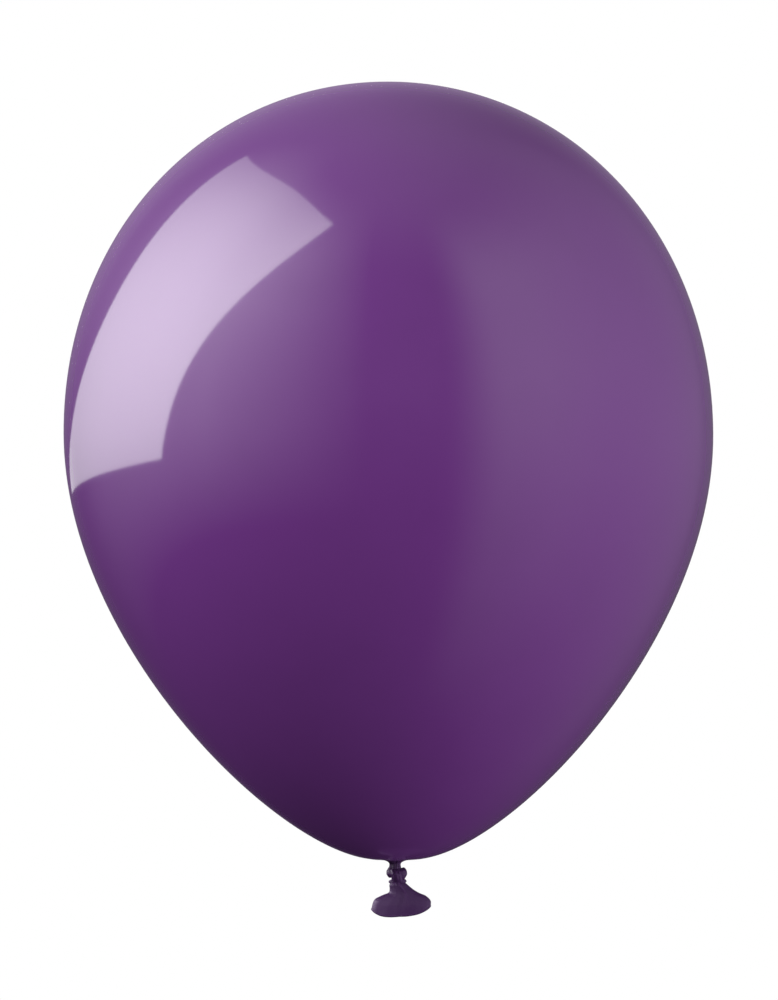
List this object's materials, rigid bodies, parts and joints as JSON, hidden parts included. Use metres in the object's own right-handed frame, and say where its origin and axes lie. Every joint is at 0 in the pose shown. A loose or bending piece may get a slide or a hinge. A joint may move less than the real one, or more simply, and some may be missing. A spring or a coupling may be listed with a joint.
{
  "type": "latex balloon",
  "caption": "Inflated teardrop latex balloon, tied off in a knot below its neck, with the flared, flattened mouth hanging under the knot.",
  "frame": {"origin": "centre of the neck's waist, between the balloon's body and the knot, where a ribbon is tied", "axes": "+Z from the neck up to the crown, X along the wide way of the flattened mouth, -Y the side the balloon is seen from"},
  "size_m": [0.28, 0.28, 0.3606],
  "materials": {
    "stretched_film": "gloss",
    "thick_rubber": "satin"
  },
  "bodies": {
    "body": {"envelope": "stretched_film", "neck_gather": "thick_rubber"},
    "neck": {"neck": "thick_rubber"},
    "knot": {"knot_loop": "thick_rubber", "knot_core": "thick_rubber", "knot_tuck": "thick_rubber"},
    "stem": {"tail_stem": "thick_rubber"},
    "tail": {"tail_skirt": "thick_rubber", "mouth_lip": "thick_rubber"}
  },
  "joints": [
    {"name": "neck_bend_sideways", "type": "hinge", "parent": "body", "child": "neck", "pos_m": [0, 0, 0], "axis": [0, 1, 0], "range_deg": [-28, 28], "stiffness_Nm_per_rad": 0.01},
    {"name": "neck_bend_forwards", "type": "hinge", "parent": "neck", "child": "knot", "pos_m": [0, 0, 0], "axis": [1, 0, 0], "range_deg": [-28, 28], "stiffness_Nm_per_rad": 0.01},
    {"name": "tail_swing_sideways", "type": "hinge", "parent": "knot", "child": "stem", "pos_m": [0.0016, 0, -0.0107], "axis": [0, 1, 0], "range_deg": [-25, 25], "stiffness_Nm_per_rad": 0.002},
    {"name": "tail_flap_forwards", "type": "hinge", "parent": "stem", "child": "tail", "pos_m": [0.0016, 0, -0.0107], "axis": [1, 0, 0], "range_deg": [-35, 35], "stiffness_Nm_per_rad": 0.002}
  ]
}
